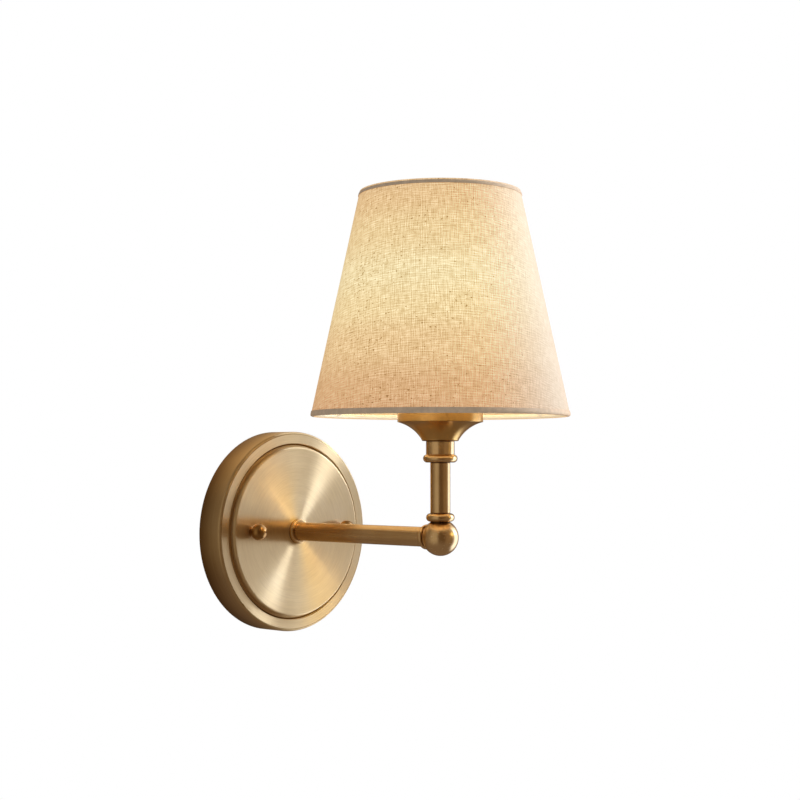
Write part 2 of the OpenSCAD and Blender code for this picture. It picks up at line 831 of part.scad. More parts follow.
// The ceramic core under the screw shell
module socket_core() {
    color(nylon) at_stem() difference() {
        translate([0, 0, core_z]) cylinder(r = core_r, h = core_h);
        for (side = [-1, 1])
            translate([side * terminal_x, 0, core_z - cut])
                cylinder(d = insert_bore, h = lead_hole_h + cut);
        for (side = [-1, 1])
            translate([side * (core_r + cut), 0, core_z + core_h / 2]) rotate([0, -side * 90, 0])
                cylinder(r = clamp_d / 2 + thread_play, h = core_r + cut - terminal_x);
    }
}

// The brass thread that takes the bulb, with a rim turned in at the bottom
module screw_shell() {
    color(bright_brass) at_stem() {
        tube(shell_r + shell_t, shell_r, core_top_z, shell_top_z);
        tube(shell_r + shell_t / 2, shell_r - shell_floor_w, core_top_z, core_top_z + shell_t);
    }
}

// The domed spring contact in the middle of the core
module centre_contact() {
    color(bright_brass) at_stem() translate([0, 0, core_top_z]) {
        cylinder(r = contact_r, h = contact_h - contact_dome_h);
        translate([0, 0, contact_h - contact_dome_h - weld])
            cylinder(r1 = contact_r, r2 = contact_tip_r, h = contact_dome_h + weld);
    }
}

// The two screws that clamp the leads in the core
module socket_terminals() {
    tip = terminal_x + lead_core_d / 2 + hole_play;
    screw_l = core_r - tip - hole_play;
    color(bright_brass) at_stem() for (side = [-1, 1])
        translate([side * tip, 0, core_z + core_h / 2]) rotate([0, side * 90, 0]) difference() {
            cylinder(d = clamp_d, h = screw_l);
            driver_slot(clamp_d, screw_l);
        }
}

// The notched ring that clamps the shade's hub
module shade_ring() {
    ring_z = hub_z + hub_t;
    ring_r = holder_r + clamp_ring_w;
    color(phenolic) at_stem() difference() {
        tube(ring_r, holder_r + thread_play, ring_z, ring_z + clamp_ring_h);
        for (i = [0:notch_n - 1])
            rotate([0, 0, i * 360 / notch_n])
                translate([ring_r, 0, ring_z + clamp_ring_h / 4])
                    cylinder(d = notch_d, h = clamp_ring_h, $fn = 16);
    }
}

// The welded frame in the shade's foot: wire ring, spokes and hub. The spokes end in the hub's
// rim, flush with its top, so that they clear the shoulder below and the clamping ring above.
module shade_fitter() {
    knee_z = hub_z + hub_t - spoke_d / 2;
    weld_r = shoulder_d / 2 + hole_play;
    ring_r = shade_r(low_ring_z, ring_depth);
    slope_l = norm([ring_r - spoke_knee, knee_z - low_ring_z]);
    slope_a = atan2(ring_r - spoke_knee, low_ring_z - knee_z);
    color(zinc) at_stem() {
        tube(hub_r + hub_w, hub_r, hub_z, hub_z + hub_t);
        wire_ring(low_ring_z);
        for (i = [0:spoke_n - 1])
            rotate([0, 0, spoke_turn + i * 360 / spoke_n]) {
                translate([weld_r, 0, knee_z]) rotate([0, 90, 0])
                    cylinder(d = spoke_d, h = spoke_knee - weld_r);
                translate([spoke_knee, 0, knee_z]) {
                    sphere(d = spoke_d + knee_swell);
                    rotate([0, slope_a, 0]) cylinder(d = spoke_d, h = slope_l);
                }
            }
    }
}

// The wire ring in the shade's top edge
module top_wire_ring() {
    color(zinc) at_stem() wire_ring(top_ring_z);
}

// The stiff white lining
module shade_liner() {
    color([0.97, 0.95, 0.88]) at_stem()
        shade_shell(liner_out, liner_in, shade_z0 + hem_t + glue_t, shade_z1 - hem_t - glue_t);
}

// The linen cover
module shade_fabric() {
    color(linen) at_stem()
        shade_shell(fabric_out, fabric_in, shade_z0 + hem_t + glue_t, shade_z1 - hem_t - glue_t);
}

// The bindings: a band on the fabric and a lip over the edge as far as the ring's middle
module hem_top() {
    color([0.63, 0.56, 0.50]) at_stem() {
        shade_shell(0, hem_t, shade_z1 - hem_h, shade_z1);
        shade_shell(hem_t / 2, ring_depth, shade_z1 - hem_t, shade_z1);
    }
}

module hem_bottom() {
    color([0.63, 0.56, 0.50]) at_stem() {
        shade_shell(0, hem_t, shade_z0, shade_z0 + hem_h);
        shade_shell(hem_t / 2, ring_depth, shade_z0, shade_z0 + hem_t);
    }
}

// Points of a quarter bend between the wall side and upwards, round the centre [x, y, z]
function quarter(c, r, from, to) = [for (i = [0:bend_steps])
    let (a = from + (to - from) * i / bend_steps) c + r * [0, cos(a), sin(a)]];

// The ring of points round one point of a route, square to the way it runs
function route_ring(p, way, r) =
    let (across = [1, 0, 0] - way[0] * way, u = across / norm(across), v = cross(way, u))
    [for (i = [0:lead_sides - 1])
        let (a = i * 360 / lead_sides) p + r * (cos(a) * u + sin(a) * v)];

// A round tube swept along a route, with a radius for each point
module swept_tube(route, radii) {
    last = len(route) - 1;
    points = [for (i = [0:last])
        let (run = route[min(i + 1, last)] - route[max(i - 1, 0)])
        each route_ring(route[i], run / norm(run), radii[i])];
    side_faces = [for (i = [0:last - 1], j = [0:lead_sides - 1])
        let (k = (j + 1) % lead_sides, a = i * lead_sides, b = a + lead_sides)
        each [[a + j, b + k, a + k], [a + j, b + j, b + k]]];
    start_face = [for (j = [0:lead_sides - 1]) j];
    end_face = [for (j = [lead_sides - 1:-1:0]) last * lead_sides + j];
    polyhedron(points, concat([start_face], side_faces, [end_face]), convexity = 10);
}

// One lead, from the terminal block through arm, ball and stem to the lampholder
module lead(side) {
    x = side * lead_x;
    pole = [side * pole_pitch / 2, -block_mid_y, block_z0];
    post = [side * terminal_x, -reach, core_z - post_gap];
    bare_in = [pole + [0, 0, strip_l], pole + [0, 0, strip_step]];
    fan_in = [pole, pole - [0, 0, fan_l]];
    rear = quarter([x, -block_mid_y - rear_turn_r, rear_turn_r], rear_turn_r, 0, -90);
    elbow = quarter([x, lead_turn_r - reach, lead_turn_r], lead_turn_r, -90, -180);
    fan_out = [[x, -reach, thread_top_z + fan_l / 2], post - [0, 0, post_straight_l], post];
    bare_out = [post + [0, 0, strip_step], [post[0], post[1], core_z + bare_end_h]];
    covered = concat(fan_in, rear, elbow, fan_out);
    swept_tube(concat(bare_in, covered, bare_out),
        concat([for (p = bare_in) lead_core_d / 2], [for (p = covered) lead_d / 2],
            [for (p = bare_out) lead_core_d / 2]));
}

module wire_live() {
    color([0.45, 0.26, 0.15]) lead(-1);
}

module wire_neutral() {
    color([0.20, 0.35, 0.65]) lead(1);
}

// The glass of the bulb, drawn inset by t: ball, waist and neck
module glass_outline(t) {
    waist_a = 45;
    foot = glass_foot_z - (t > 0 ? cut : 0);
    neck_r = glass_neck_r + glass_t - t;
    blend_z = glass_z - bulb_r * sin(waist_a);
    neck_top = glass_foot_z + skirt_h;
    intersection() {
        union() {
            translate([0, glass_z]) circle(r = bulb_r - t);
            translate([0, foot]) square([neck_r, glass_z - foot]);
            polygon([[0, neck_top], [neck_r, neck_top], [(bulb_r - t) * cos(waist_a), blend_z],
                [0, glass_z]]);
        }
        translate([0, foot]) square([bulb_d, 2 * bulb_l]);
    }
}

module bulb_glass() {
    color([1, 0.96, 0.88, 0.6]) at_stem() rotate_extrude() difference() {
        glass_outline(0);
        glass_outline(glass_t);
    }
}

// The bulb's screw cap with its skirt
module bulb_cap() {
    cap_r = bulb_cap_d / 2;
    color(zinc) at_stem() difference() {
        union() {
            translate([0, 0, screw_z]) cylinder(r = cap_r, h = skirt_z - screw_z + weld);
            translate([0, 0, skirt_z]) cylinder(r = skirt_d / 2 + skirt_t, h = skirt_h);
        }
        translate([0, 0, screw_z - cut])
            cylinder(r = cap_r - cap_t, h = skirt_z + skirt_h - screw_z + 2 * cut);
        translate([0, 0, skirt_z + skirt_floor_t]) cylinder(d = skirt_d, h = skirt_h);
    }
}

// The black cone between the screw cap and the tip
module bulb_insulator() {
    color(phenolic) at_stem() translate([0, 0, tip_z + tip_h])
        cylinder(r1 = insulator_r, r2 = bulb_cap_d / 2 - cap_t / 2, h = insulator_h);
}

module bulb_contact() {
    color(zinc) at_stem() translate([0, 0, tip_z])
        cylinder(r1 = tip_r, r2 = tip_top_r, h = tip_h);
}

// The glass stem that holds the filaments between two round plates
module lamp_stem() {
    plate_top_r = filament_r + lamp_plate_t;
    color([0.9, 0.92, 0.92]) at_stem() {
        translate([0, 0, screw_z])
            cylinder(r = bulb_cap_d / 2 - cap_t - slip_play, h = lamp_foot_h);
        translate([0, 0, screw_z]) cylinder(r = lamp_stem_r, h = filament_z - screw_z);
        translate([0, 0, screw_z])
            cylinder(r = lamp_rod_r, h = filament_z + filament_l - screw_z + weld);
        for (z = [filament_z - lamp_plate_t, filament_z + filament_l])
            translate([0, 0, z]) cylinder(r = plate_top_r, h = lamp_plate_t);
    }
}

// Four upright filaments between the stem's two plates
module lamp_filaments() {
    color([1, 0.8, 0.35]) at_stem() for (i = [0:3])
        rotate([0, 0, 45 + i * 90]) translate([filament_r, 0, filament_z])
            cylinder(d = filament_d, h = filament_l);
}

crossbar();
mounting_studs();
stud_nuts();
ground_screw();
terminal_block();
terminal_inserts();
terminal_screws();
block_screw();
canopy();
cap_nut(-1);  // cap_nut_left
cap_nut(1);  // cap_nut_right
arm_collar();
arm_nipple();
canopy_washer();
canopy_nut();
wire_bushing();
arm_tube();
arm_end_bead();
elbow_nipple_arm();
elbow_ball();
elbow_nipple_stem();
stem_bead();
stem_tube();
neck_coupling();
socket_nipple();
gallery();
gallery_nut();
socket_cap();
socket_body();
socket_core();
screw_shell();
centre_contact();
socket_terminals();
shade_ring();
shade_fitter();
top_wire_ring();
shade_liner();
shade_fabric();
hem_top();
hem_bottom();
wire_live();
wire_neutral();
bulb_glass();
bulb_cap();
bulb_insulator();
bulb_contact();
lamp_stem();
lamp_filaments();
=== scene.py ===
"""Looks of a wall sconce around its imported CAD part. Metres, in the frame of the part:
the wall is y = 0, the light stands out along -Y, and stem and shade stand on one upright axis."""
import math

import bpy
from mathutils import Matrix, Vector, noise

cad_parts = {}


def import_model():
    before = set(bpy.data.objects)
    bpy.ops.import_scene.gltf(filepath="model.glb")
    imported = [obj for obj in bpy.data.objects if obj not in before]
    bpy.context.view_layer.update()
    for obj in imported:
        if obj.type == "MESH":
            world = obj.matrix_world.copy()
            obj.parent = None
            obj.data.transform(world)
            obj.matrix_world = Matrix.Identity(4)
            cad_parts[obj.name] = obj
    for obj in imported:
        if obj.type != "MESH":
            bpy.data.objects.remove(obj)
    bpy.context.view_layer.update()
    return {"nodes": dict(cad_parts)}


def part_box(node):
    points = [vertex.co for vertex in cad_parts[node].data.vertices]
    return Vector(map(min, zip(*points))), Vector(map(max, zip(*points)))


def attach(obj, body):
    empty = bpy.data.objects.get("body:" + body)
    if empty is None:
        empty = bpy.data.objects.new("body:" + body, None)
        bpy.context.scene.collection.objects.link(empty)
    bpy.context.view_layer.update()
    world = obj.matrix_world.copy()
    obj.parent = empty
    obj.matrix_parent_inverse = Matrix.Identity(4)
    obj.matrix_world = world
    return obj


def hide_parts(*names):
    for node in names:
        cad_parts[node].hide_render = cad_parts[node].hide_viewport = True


MM = 0.001
DEGREES = 180 / math.pi  # degrees in a radian
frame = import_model()
nodes = frame["nodes"]

# Directions of the studio's lights, seen from the lamp
KEY = Vector((0.906, -0.423, 0.0))  # the tall soft box, level
CREAM_LAMP = (0.874, -0.396, 0.272)  # its bright core, which gives the disc's cream streak
GOLD_LAMP = (0.525, -0.802, 0.285)  # a small warm lamp, which gives the gold streak


def centre(node):
    low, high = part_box(node)
    return (low + high) / 2


AXIS = centre("shade_liner")  # a point on the axis of stem, lampholder and shade
AXIS.z = 0
BULB = centre("lamp_filaments")  # the middle of the light

# The shade's cone, read from its bindings: radius at height z of its outermost surface
edge_low, edge_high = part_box("hem_bottom")
top_low, top_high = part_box("hem_top")
SHADE_Z0, SHADE_Z1 = edge_low.z, top_high.z
SHADE_R0 = (edge_high.x - edge_low.x) / 2
SLOPE = (SHADE_R0 - (top_high.x - top_low.x) / 2) / (top_low.z - SHADE_Z0)
WALL = math.sqrt(1 + SLOPE * SLOPE)
HEM_H = edge_high.z - edge_low.z
TOP_HEM_H = 2.5 * MM  # the upper tape shows less of itself than the lower one


def cone_r(z, depth=0.0):
    return SHADE_R0 - (z - SHADE_Z0) * SLOPE - depth * WALL


# Camera, fitted to edge positions measured in the photograph
CAMERA_TURN, CAMERA_AWAY, CAMERA_UP = math.radians(-49.02), 0.9366, 0.04603
CAMERA_PITCH, CAMERA_YAW = math.radians(2.23), math.radians(1.48)
FOCAL_PX, FRAME_PX, SENSOR_MM = 1558.5, 800, 36.0

camera = bpy.data.objects.new("camera", bpy.data.cameras.new("camera"))
bpy.context.scene.collection.objects.link(camera)
bpy.context.scene.camera = camera
camera.data.sensor_width = SENSOR_MM
camera.data.lens = SENSOR_MM * FOCAL_PX / FRAME_PX
camera.data.clip_start, camera.data.clip_end = 0.01, 60
back = Vector((math.sin(CAMERA_TURN), -math.cos(CAMERA_TURN), 0))
camera.location = AXIS + back * CAMERA_AWAY + Vector((0, 0, CAMERA_UP))
look = Matrix.Rotation(CAMERA_YAW, 3, "Z") @ -back
look = look * math.cos(CAMERA_PITCH) + Vector((0, 0, math.sin(CAMERA_PITCH)))
camera.rotation_mode = "QUATERNION"
camera.rotation_quaternion = look.to_track_quat("-Z", "Y")


# Node graphs
class Graph:
    """The nodes of one material or world. A value given as a socket is linked, else it is set."""

    def __init__(self, owner):
        owner.use_nodes = True
        self.tree = owner.node_tree
        self.tree.nodes.clear()

    def put(self, socket, value):
        if isinstance(value, bpy.types.NodeSocket):
            self.tree.links.new(value, socket)
        elif value is not None:
            if hasattr(socket.default_value, "__len__") and len(socket.default_value) == 4:
                value = (*value, 1.0)[:4]
            socket.default_value = value

    def node(self, kind, *values, out=0, named=None, **settings):
        made = self.tree.nodes.new("ShaderNode" + kind)
        for key, value in settings.items():
            setattr(made, key, value)
        for i, value in enumerate(values):
            self.put(made.inputs[i], value)
        for key, value in (named or {}).items():
            self.put(made.inputs[key], value)
        return made.outputs[out]

    def math(self, operation, *values, clamp=False):
        return self.node("Math", *values, operation=operation, use_clamp=clamp)

    def vector(self, operation, *values, out=0):
        return self.node("VectorMath", *values, operation=operation, out=out)

    def join(self, x, y, z):
        return self.node("CombineXYZ", x, y, z)

    def split(self, vector):
        made = self.tree.nodes.new("ShaderNodeSeparateXYZ")
        self.put(made.inputs[0], vector)
        return made.outputs

    def remap(self, value, low, high, to_low=0.0, to_high=1.0, smooth=False):
        kind = "SMOOTHSTEP" if smooth else "LINEAR"
        return self.node("MapRange", value, low, high, to_low, to_high, interpolation_type=kind)

    def noise(self, vector, scale, detail=2.0, roughness=0.5, w=None):
        named = {"Vector": vector, "Scale": scale, "Detail": detail, "Roughness": roughness}
        if w is not None:
            named["W"] = w
        return self.node("TexNoise", named=named, noise_dimensions="3D" if w is None else "4D")

    def ramp(self, value, stops, interpolation="LINEAR"):
        made = self.tree.nodes.new("ShaderNodeValToRGB")
        made.color_ramp.interpolation = interpolation
        points = made.color_ramp.elements
        while len(points) < len(stops):
            points.new(0.5)
        for point, (place, colour) in zip(points, stops):
            point.position = place
            point.color = (*colour, 1.0)
        self.put(made.inputs[0], value)
        return made.outputs[0]

    def mix(self, share, a, b, blend="MIX"):
        made = self.tree.nodes.new("ShaderNodeMix")
        made.data_type, made.blend_type = "RGBA", blend
        for i, value in zip((0, 6, 7), (share, a, b)):
            self.put(made.inputs[i], value)
        return made.outputs[2]

    def bump(self, height, distance, strength):
        return self.node("Bump", named={"Height": height, "Distance": distance,
                                        "Strength": strength})

    def finish(self, shader):
        end = self.tree.nodes.new("ShaderNodeOutputMaterial")
        self.put(end.inputs["Surface"], shader)


def material(name):
    made = bpy.data.materials.new(name)
    return made, Graph(made)


def srgb(code):
    """A colour written as six hex digits, in linear light."""
    parts = [int(code[i:i + 2], 16) / 255 for i in (0, 2, 4)]
    return tuple(c / 12.92 if c <= 0.04045 else ((c + 0.055) / 1.055) ** 2.4 for c in parts)


def dress(made, *names):
    """Gives the CAD pieces of these names one material."""
    for name in names:
        for place in nodes[name].material_slots:
            place.material = made


# Brass
FINE, BROAD = 2600, 650  # brush lines per metre
BRUSH_DEPTH = 0.000008


def brass(name, axis, grain, offset=(0, 0, 0), rough=0.27, stretch=0.7, relief=0.35, patina_and_shade=(),
          rim=None, grit=1.0, tones=("DDBB8A", "E3C292", "E8C99C")):
    """Aged brass. grain is turned (lines round the axis), drawn (lines along it) or even.
    patina_and_shade lists dark lines in corners, dark patina and painted shade together: (r or h,
    place, half width, share of light left). Outside the radius rim the metal is smoother and
    takes painted shade that deepens towards the wall. grit scales the unevenness."""
    made, g = material(name)
    place = g.vector("SUBTRACT", g.node("TexCoord", out=3), tuple(offset))
    x, y, z = g.split(place)
    a, b, h = (x, z, y) if axis == "Y" else (x, y, z)
    r = g.math("SQRT", g.math("ADD", g.math("MULTIPLY", a, a), g.math("MULTIPLY", b, b)))
    safe_r = g.math("MAXIMUM", r, 0.0005)
    ca, sa = g.math("DIVIDE", a, safe_r), g.math("DIVIDE", b, safe_r)

    def lines(per_metre, arcs, detail):
        if grain == "turned":
            return g.noise(g.join(g.math("MULTIPLY", ca, arcs), g.math("MULTIPLY", sa, arcs),
                                  g.math("MULTIPLY", r, per_metre)), 1.0, detail, 0.6,
                           w=g.math("MULTIPLY", h, per_metre))
        if grain == "drawn":
            return g.noise(g.join(g.math("MULTIPLY", a, per_metre),
                                  g.math("MULTIPLY", b, per_metre),
                                  g.math("MULTIPLY", h, arcs * 9)), 1.0, detail, 0.6)
        return g.noise(place, per_metre * 0.6, detail, 0.6)

    fine, broad = lines(FINE, 4.0, 3.0), lines(BROAD, 1.6, 2.0)
    cloud = g.noise(place, 38, 3.0, 0.5)
    patina = g.ramp(cloud, [(0.32, srgb(tones[0])), (0.52, srgb(tones[1])),
                            (0.72, srgb(tones[2]))])
    streak_and_shade = g.math("MULTIPLY", g.remap(fine, 0.3, 0.7, 1 - 0.07 * grit, 1 + 0.04 * grit),
                    g.remap(broad, 0.3, 0.7, 1 - 0.04 * grit, 1 + 0.03 * grit))
    # dark lines in corners and where pieces meet: patina and painted shade
    for where, at, half, left in patina_and_shade:
        near = g.math("ABSOLUTE", g.math("SUBTRACT", r if where == "r" else h, at))
        streak_and_shade = g.math("MULTIPLY", streak_and_shade,
                        g.remap(near, 0.6 * half, 1.3 * half, left, 1.0, smooth=True))
    # painted shade on the plate's side wall, deepening towards the wall
    if rim:
        wall_shade = g.remap(h, -19 * MM, -2 * MM, 0.76, 0.28)
        streak_and_shade = g.math("MULTIPLY", streak_and_shade, g.mix(g.remap(r, rim - 0.2 * MM, rim), (1, 1, 1),
                                                  g.node("CombineColor", wall_shade, wall_shade, wall_shade)))
    # darker brush lines, patina and painted shade turn browner than clean brass
    tarnish_and_shade = g.node("CombineColor", streak_and_shade, g.math("POWER", streak_and_shade, 1.25),
                     g.math("POWER", streak_and_shade, 1.6))
    colour = g.mix(1.0, patina, tarnish_and_shade, "MULTIPLY")
    if rim:
        rough = g.remap(r, rim - 0.4 * MM, rim, rough, 0.30)
    uneven = g.math("ADD", g.remap(broad, 0.3, 0.7, -0.015, 0.02),
                    g.remap(fine, 0.3, 0.7, -0.015, 0.015))
    roughness = g.math("ADD", rough, g.math("MULTIPLY", uneven, grit))
    normal = g.bump(g.math("ADD", fine, broad), BRUSH_DEPTH, relief)
    tangent = g.node("Tangent", direction_type="RADIAL", axis=axis)
    shader = g.node("BsdfPrincipled", named={
        "Base Color": colour, "Metallic": 1.0, "Roughness": roughness, "Normal": normal,
        "Anisotropic": 0.0 if grain == "even" else stretch,
        "Anisotropic Rotation": 0.25 if grain == "turned" else 0.0, "Tangent": tangent})
    g.finish(shader)
    return made


def joints(*names):
    """Dark lines of patina and painted shade where turned pieces meet, as heights on the stem."""
    return [("h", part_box(name)[0].z, 0.45 * MM, 0.25) for name in names]


PLATE_R, DISC_R, GROOVE = 65 * MM, 55 * MM, 2.5 * MM  # radii and groove width of the wall plate
# the plate's groove and the line beside its rim are darkened: patina and painted shade in the
# recesses
dress(brass("brass_plate", "Y", "turned", rough=0.35, stretch=1.0, relief=0.45,
            rim=PLATE_R - 1.2 * MM, tones=("EBD0A2", "F1D7A9", "F5DDB3"),
            patina_and_shade=[("r", DISC_R + 0.7 * GROOVE, 0.55 * MM, 0.22),
                  ("r", DISC_R + 0.4 * GROOVE, 0.35 * GROOVE, 0.75),
                  ("r", PLATE_R - 1.5 * MM, 0.3 * MM, 0.55)]), "canopy")
arm_low, arm_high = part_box("arm_collar")
bead_low, bead_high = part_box("arm_end_bead")
dress(brass("brass_turned_arm", "Y", "turned", rough=0.27, stretch=0.6, relief=0.06, grit=0.25,
            patina_and_shade=[("h", arm_high.y, 0.4 * MM, 0.3), ("h", bead_low.y, 0.5 * MM, 0.25)]),
      "arm_collar", "arm_end_bead")
dress(brass("brass_arm", "Y", "drawn", rough=0.25, stretch=0.2, relief=0.12, grit=1.3,
            patina_and_shade=[("h", arm_low.y, 0.5 * MM, 0.35), ("h", bead_high.y, 0.5 * MM, 0.35)]),
      "arm_tube")
dress(brass("brass_turned_stem", "Z", "turned", AXIS, rough=0.26, stretch=0.7, relief=0.1,
            grit=0.45, patina_and_shade=joints("stem_bead", "stem_tube", "neck_coupling", "gallery")),
      "stem_bead", "neck_coupling")
dress(brass("brass_cup", "Z", "turned", AXIS, rough=0.28, stretch=0.7, relief=0.06, grit=0.2,
            patina_and_shade=joints("gallery"), tones=("D3A865", "DBB06C", "E2B978")), "gallery")
dress(brass("brass_stem", "Z", "drawn", AXIS, rough=0.24, stretch=0.2, relief=0.06, grit=0.8,
            patina_and_shade=joints("stem_tube", "neck_coupling")), "stem_tube")
# the ball's top under the stem bead is darkened over 3 mm: painted shade
dress(brass("brass_ball", "Z", "even", AXIS, rough=0.27, relief=0.04, grit=0.15,
            patina_and_shade=[*joints("stem_bead"), ("h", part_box("stem_bead")[0].z, 3.2 * MM, 0.6)]),
      "elbow_ball")
# the cap nuts take darker tones than the other brass: painted shade for the dark room they mirror
dress(brass("brass_nut", "Y", "even", rough=0.28, relief=0.04, grit=0.15,
            tones=("9C7442", "A87E4A", "B48A54")), "cap_nut_left", "cap_nut_right")


# Plain materials of hidden parts
GRAIN = 900.0  # specks per metre of moulded and plated finishes


def plain(name, colour, dark, rough, metallic=0.0, depth=0.02 * MM, **named):
    """A moulded or plated finish: a mottled colour, a fine grain and uneven gloss."""
    made, g = material(name)
    place = g.node("TexCoord", out=3)
    cloud = g.noise(place, 90, 4.0, 0.6)
    speck = g.noise(place, GRAIN, 3.0, 0.6)
    shade = g.mix(g.remap(cloud, 0.3, 0.7), srgb(dark), srgb(colour))
    shader = g.node("BsdfPrincipled", named={
        "Base Color": shade, "Metallic": metallic,
        "Roughness": g.remap(speck, 0.3, 0.7, rough - 0.06, rough + 0.06),
        "Normal": g.bump(speck, depth, 0.4), **named})
    g.finish(shader)
    return made


dress(plain("zinc_steel", "C9CDD0", "A9AEB2", 0.34, 1.0), "crossbar", "stud_nuts", "canopy_washer",
      "canopy_nut", "gallery_nut", "block_screw", "terminal_screws")
dress(plain("earth_green", "3F8A4C", "2C6B3A", 0.40, 0.8), "ground_screw")
dress(plain("nylon", "EFEDE4", "E2DFD3", 0.46, depth=0.04 * MM), "terminal_block")
dress(plain("bright_brass", "E8C878", "D2AC5C", 0.24, 1.0), "terminal_inserts", "centre_contact",
      "socket_terminals")
dress(plain("phenolic", "24201D", "191614", 0.36), "wire_bushing", "socket_cap", "socket_body",
      "shade_ring", "bulb_insulator")
dress(plain("ceramic", "F2EFE8", "E8E4DA", 0.16), "socket_core")
# the fitter's wire emits a warm glow: painted light from the bulb
dress(plain("frame_wire", "F4F0E6", "E6E0D2", 0.32, **{
    "Emission Color": (1.0, 0.78, 0.45), "Emission Strength": 0.45}), "shade_fitter")
dress(plain("top_wire", "F4F0E6", "E6E0D2", 0.32), "top_wire_ring")
dress(plain("nickel", "D6D2CA", "BDB8AE", 0.20, 1.0), "bulb_contact")
dress(plain("clear_glass", "F4F8F6", "EEF3F1", 0.06, **{"Transmission Weight": 1.0, "IOR": 1.5}),
      "lamp_stem")
dress(plain("lead_brown", "7A4A2C", "6A3E24", 0.42), "wire_live")
dress(plain("lead_blue", "3F68B0", "34589A", 0.42), "wire_neutral")


def thread(name, axis, pitch, offset=(0, 0, 0), tones=("8E9296", "CBCFD2"), depth=0.8):
    """Plated metal with the turns of a thread round an axis; tones are its roots and crests,
    the roots darker as painted shade.
    """
    made, g = material(name)
    place = g.vector("SUBTRACT", g.node("TexCoord", out=3), tuple(offset))
    x, y, z = g.split(place)
    a, b, h = (x, z, y) if axis == "Y" else (x, y, z)
    turn = g.math("DIVIDE", g.math("ARCTAN2", b, a), 2 * math.pi)
    wave = g.math("PINGPONG", g.math("ADD", g.math("DIVIDE", h, pitch), turn), 0.5)
    speck = g.noise(place, GRAIN, 3.0, 0.6)
    shader = g.node("BsdfPrincipled", named={
        "Base Color": g.mix(g.remap(wave, 0.0, 0.5), srgb(tones[0]), srgb(tones[1])),
        "Metallic": 1.0, "Roughness": g.remap(speck, 0.3, 0.7, 0.28, 0.42),
        "Normal": g.bump(wave, pitch * depth, 1.0)})
    g.finish(shader)
    return made


# Pitches: M10 x 1, M4 and the E14 lamp thread
dress(thread("thread_arm", "Y", 1 * MM), "arm_nipple", "elbow_nipple_arm")
dress(thread("thread_stem", "Z", 1 * MM, AXIS), "elbow_nipple_stem", "socket_nipple")
dress(thread("thread_stud", "Y", 0.7 * MM), "mounting_studs")
dress(thread("thread_shell", "Z", 2.8 * MM, AXIS, ("B08A44", "E8C878"), 0.3), "screw_shell")
dress(thread("thread_cap", "Z", 2.8 * MM, AXIS, ("A8A49C", "D6D2CA"), 0.3), "bulb_cap")


# Light inside the shade
def glow(name, colour, strength, base):
    """A lit surface, with the slight unevenness of frosting."""
    made, g = material(name)
    grain = g.noise(g.node("TexCoord", out=3), 400, 2.0)
    shader = g.node("BsdfPrincipled", named={
        "Base Color": base, "Roughness": g.remap(grain, 0.3, 0.7, 0.42, 0.58),
        "Emission Color": colour,
        "Emission Strength": g.remap(grain, 0.3, 0.7, 0.95 * strength, 1.05 * strength)})
    g.finish(shader)
    return made


dress(glow("frosted_glass", (1.0, 0.80, 0.54), 7.5, (0.9, 0.87, 0.8)), "bulb_glass")
dress(glow("filament", (1.0, 0.75, 0.35), 20.0, (0.9, 0.7, 0.3)), "lamp_filaments")


def lining():
    """Stiff pale lining with a faint grain and a painted glow from the bulb, stronger towards the
    rims.
    """
    made, g = material("lining")
    place = g.node("TexCoord", out=3)
    grain = g.noise(place, 700, 3.0, 0.6)
    away = g.vector("LENGTH", g.vector("SUBTRACT", place, tuple(BULB)), out=1)
    # painted glow: the lining emits as if lit by the bulb
    warm = g.remap(away, 0.05, 0.11, 0.04, 0.17)
    shader = g.node("BsdfPrincipled", named={
        "Base Color": g.mix(grain, srgb("D2C1A2"), srgb("DCCBAE")), "Roughness": 0.6,
        "Normal": g.bump(grain, 0.04 * MM, 0.4),
        "Emission Color": (1.0, 0.86, 0.56), "Emission Strength": warm})
    g.finish(shader)
    return made


dress(lining(), "shade_liner")


# Meshes
def build(name, points, faces, uvs=None):
    """A smooth mesh on the fixed body; uvs gives each point's place in the flat cut."""
    mesh = bpy.data.meshes.new(name)
    mesh.from_pydata(points, [], faces)
    mesh.update()
    mesh.shade_smooth()
    if uvs:
        layer = mesh.uv_layers.new(name="cut")
        for loop in mesh.loops:
            layer.data[loop.index].uv = uvs[loop.vertex_index]
    made = bpy.data.objects.new(name, mesh)
    bpy.context.scene.collection.objects.link(made)
    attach(made, "fixture")
    return made


AROUND, UP = 420, 110  # divisions of the cloth round the shade and up it


def lathe(name, outline):
    """A closed outline of (radius, height) points turned round the lamp's upright axis."""
    n, steps = len(outline), AROUND
    points = [(AXIS.x + r * math.cos(t), AXIS.y + r * math.sin(t), z)
              for t in (i * 2 * math.pi / steps for i in range(steps)) for r, z in outline]
    faces = [(i * n + j, (i + 1) % steps * n + j, (i + 1) % steps * n + (j + 1) % n,
              i * n + (j + 1) % n) for i in range(steps) for j in range(n)]
    return build(name, points, faces)


# The linen cover
SEAM = math.radians(41)  # direction of the glued seam, on the far side from the camera
LAP = 9 * MM  # width of the overlap
LAP_TURN = 0.5 * LAP / (0.5 * (SHADE_R0 + cone_r(SHADE_Z1)))
CLOTH_T = 0.6 * MM
CLOTH_OUT = 0.35 * MM  # depth of the cloth's face below the bindings
PATTERN = SLOPE / WALL  # turns of the flat cut for each turn of the cone


WAVE = 0.12 * MM  # depth of the cloth's gentle unevenness


